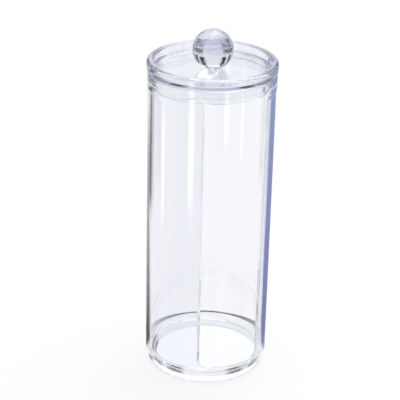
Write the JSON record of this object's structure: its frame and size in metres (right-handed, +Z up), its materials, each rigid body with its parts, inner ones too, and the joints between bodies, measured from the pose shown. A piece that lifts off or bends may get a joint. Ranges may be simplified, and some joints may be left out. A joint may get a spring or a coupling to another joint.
{
  "type": "cotton pad dispenser",
  "caption": "Tall clear round jar with a slot down its front for taking cotton pads out, a dished lift-off lid that plugs into the mouth, and a clear ball knob.",
  "frame": {"origin": "on the table, under the middle of the jar", "axes": "+Z up along the jar's axis, the slot faces -Y"},
  "size_m": [0.07, 0.07, 0.1957],
  "materials": {
    "jar_plastic": "clear moulded polystyrene, polished, faint blue in the edges",
    "lid_plastic": "clear moulded polystyrene, polished, faint blue in the edges",
    "knob_plastic": "clear solid ball, polished"
  },
  "bodies": {
    "jar": {"jar": "jar_plastic"},
    "lid": {"lid": "lid_plastic", "knob": "knob_plastic"}
  },
  "joints": [
    {"name": "lid_lift", "type": "slide", "parent": "jar", "child": "lid", "axis": [0, 0, 1], "range_m": [0, 0.03]}
  ]
}
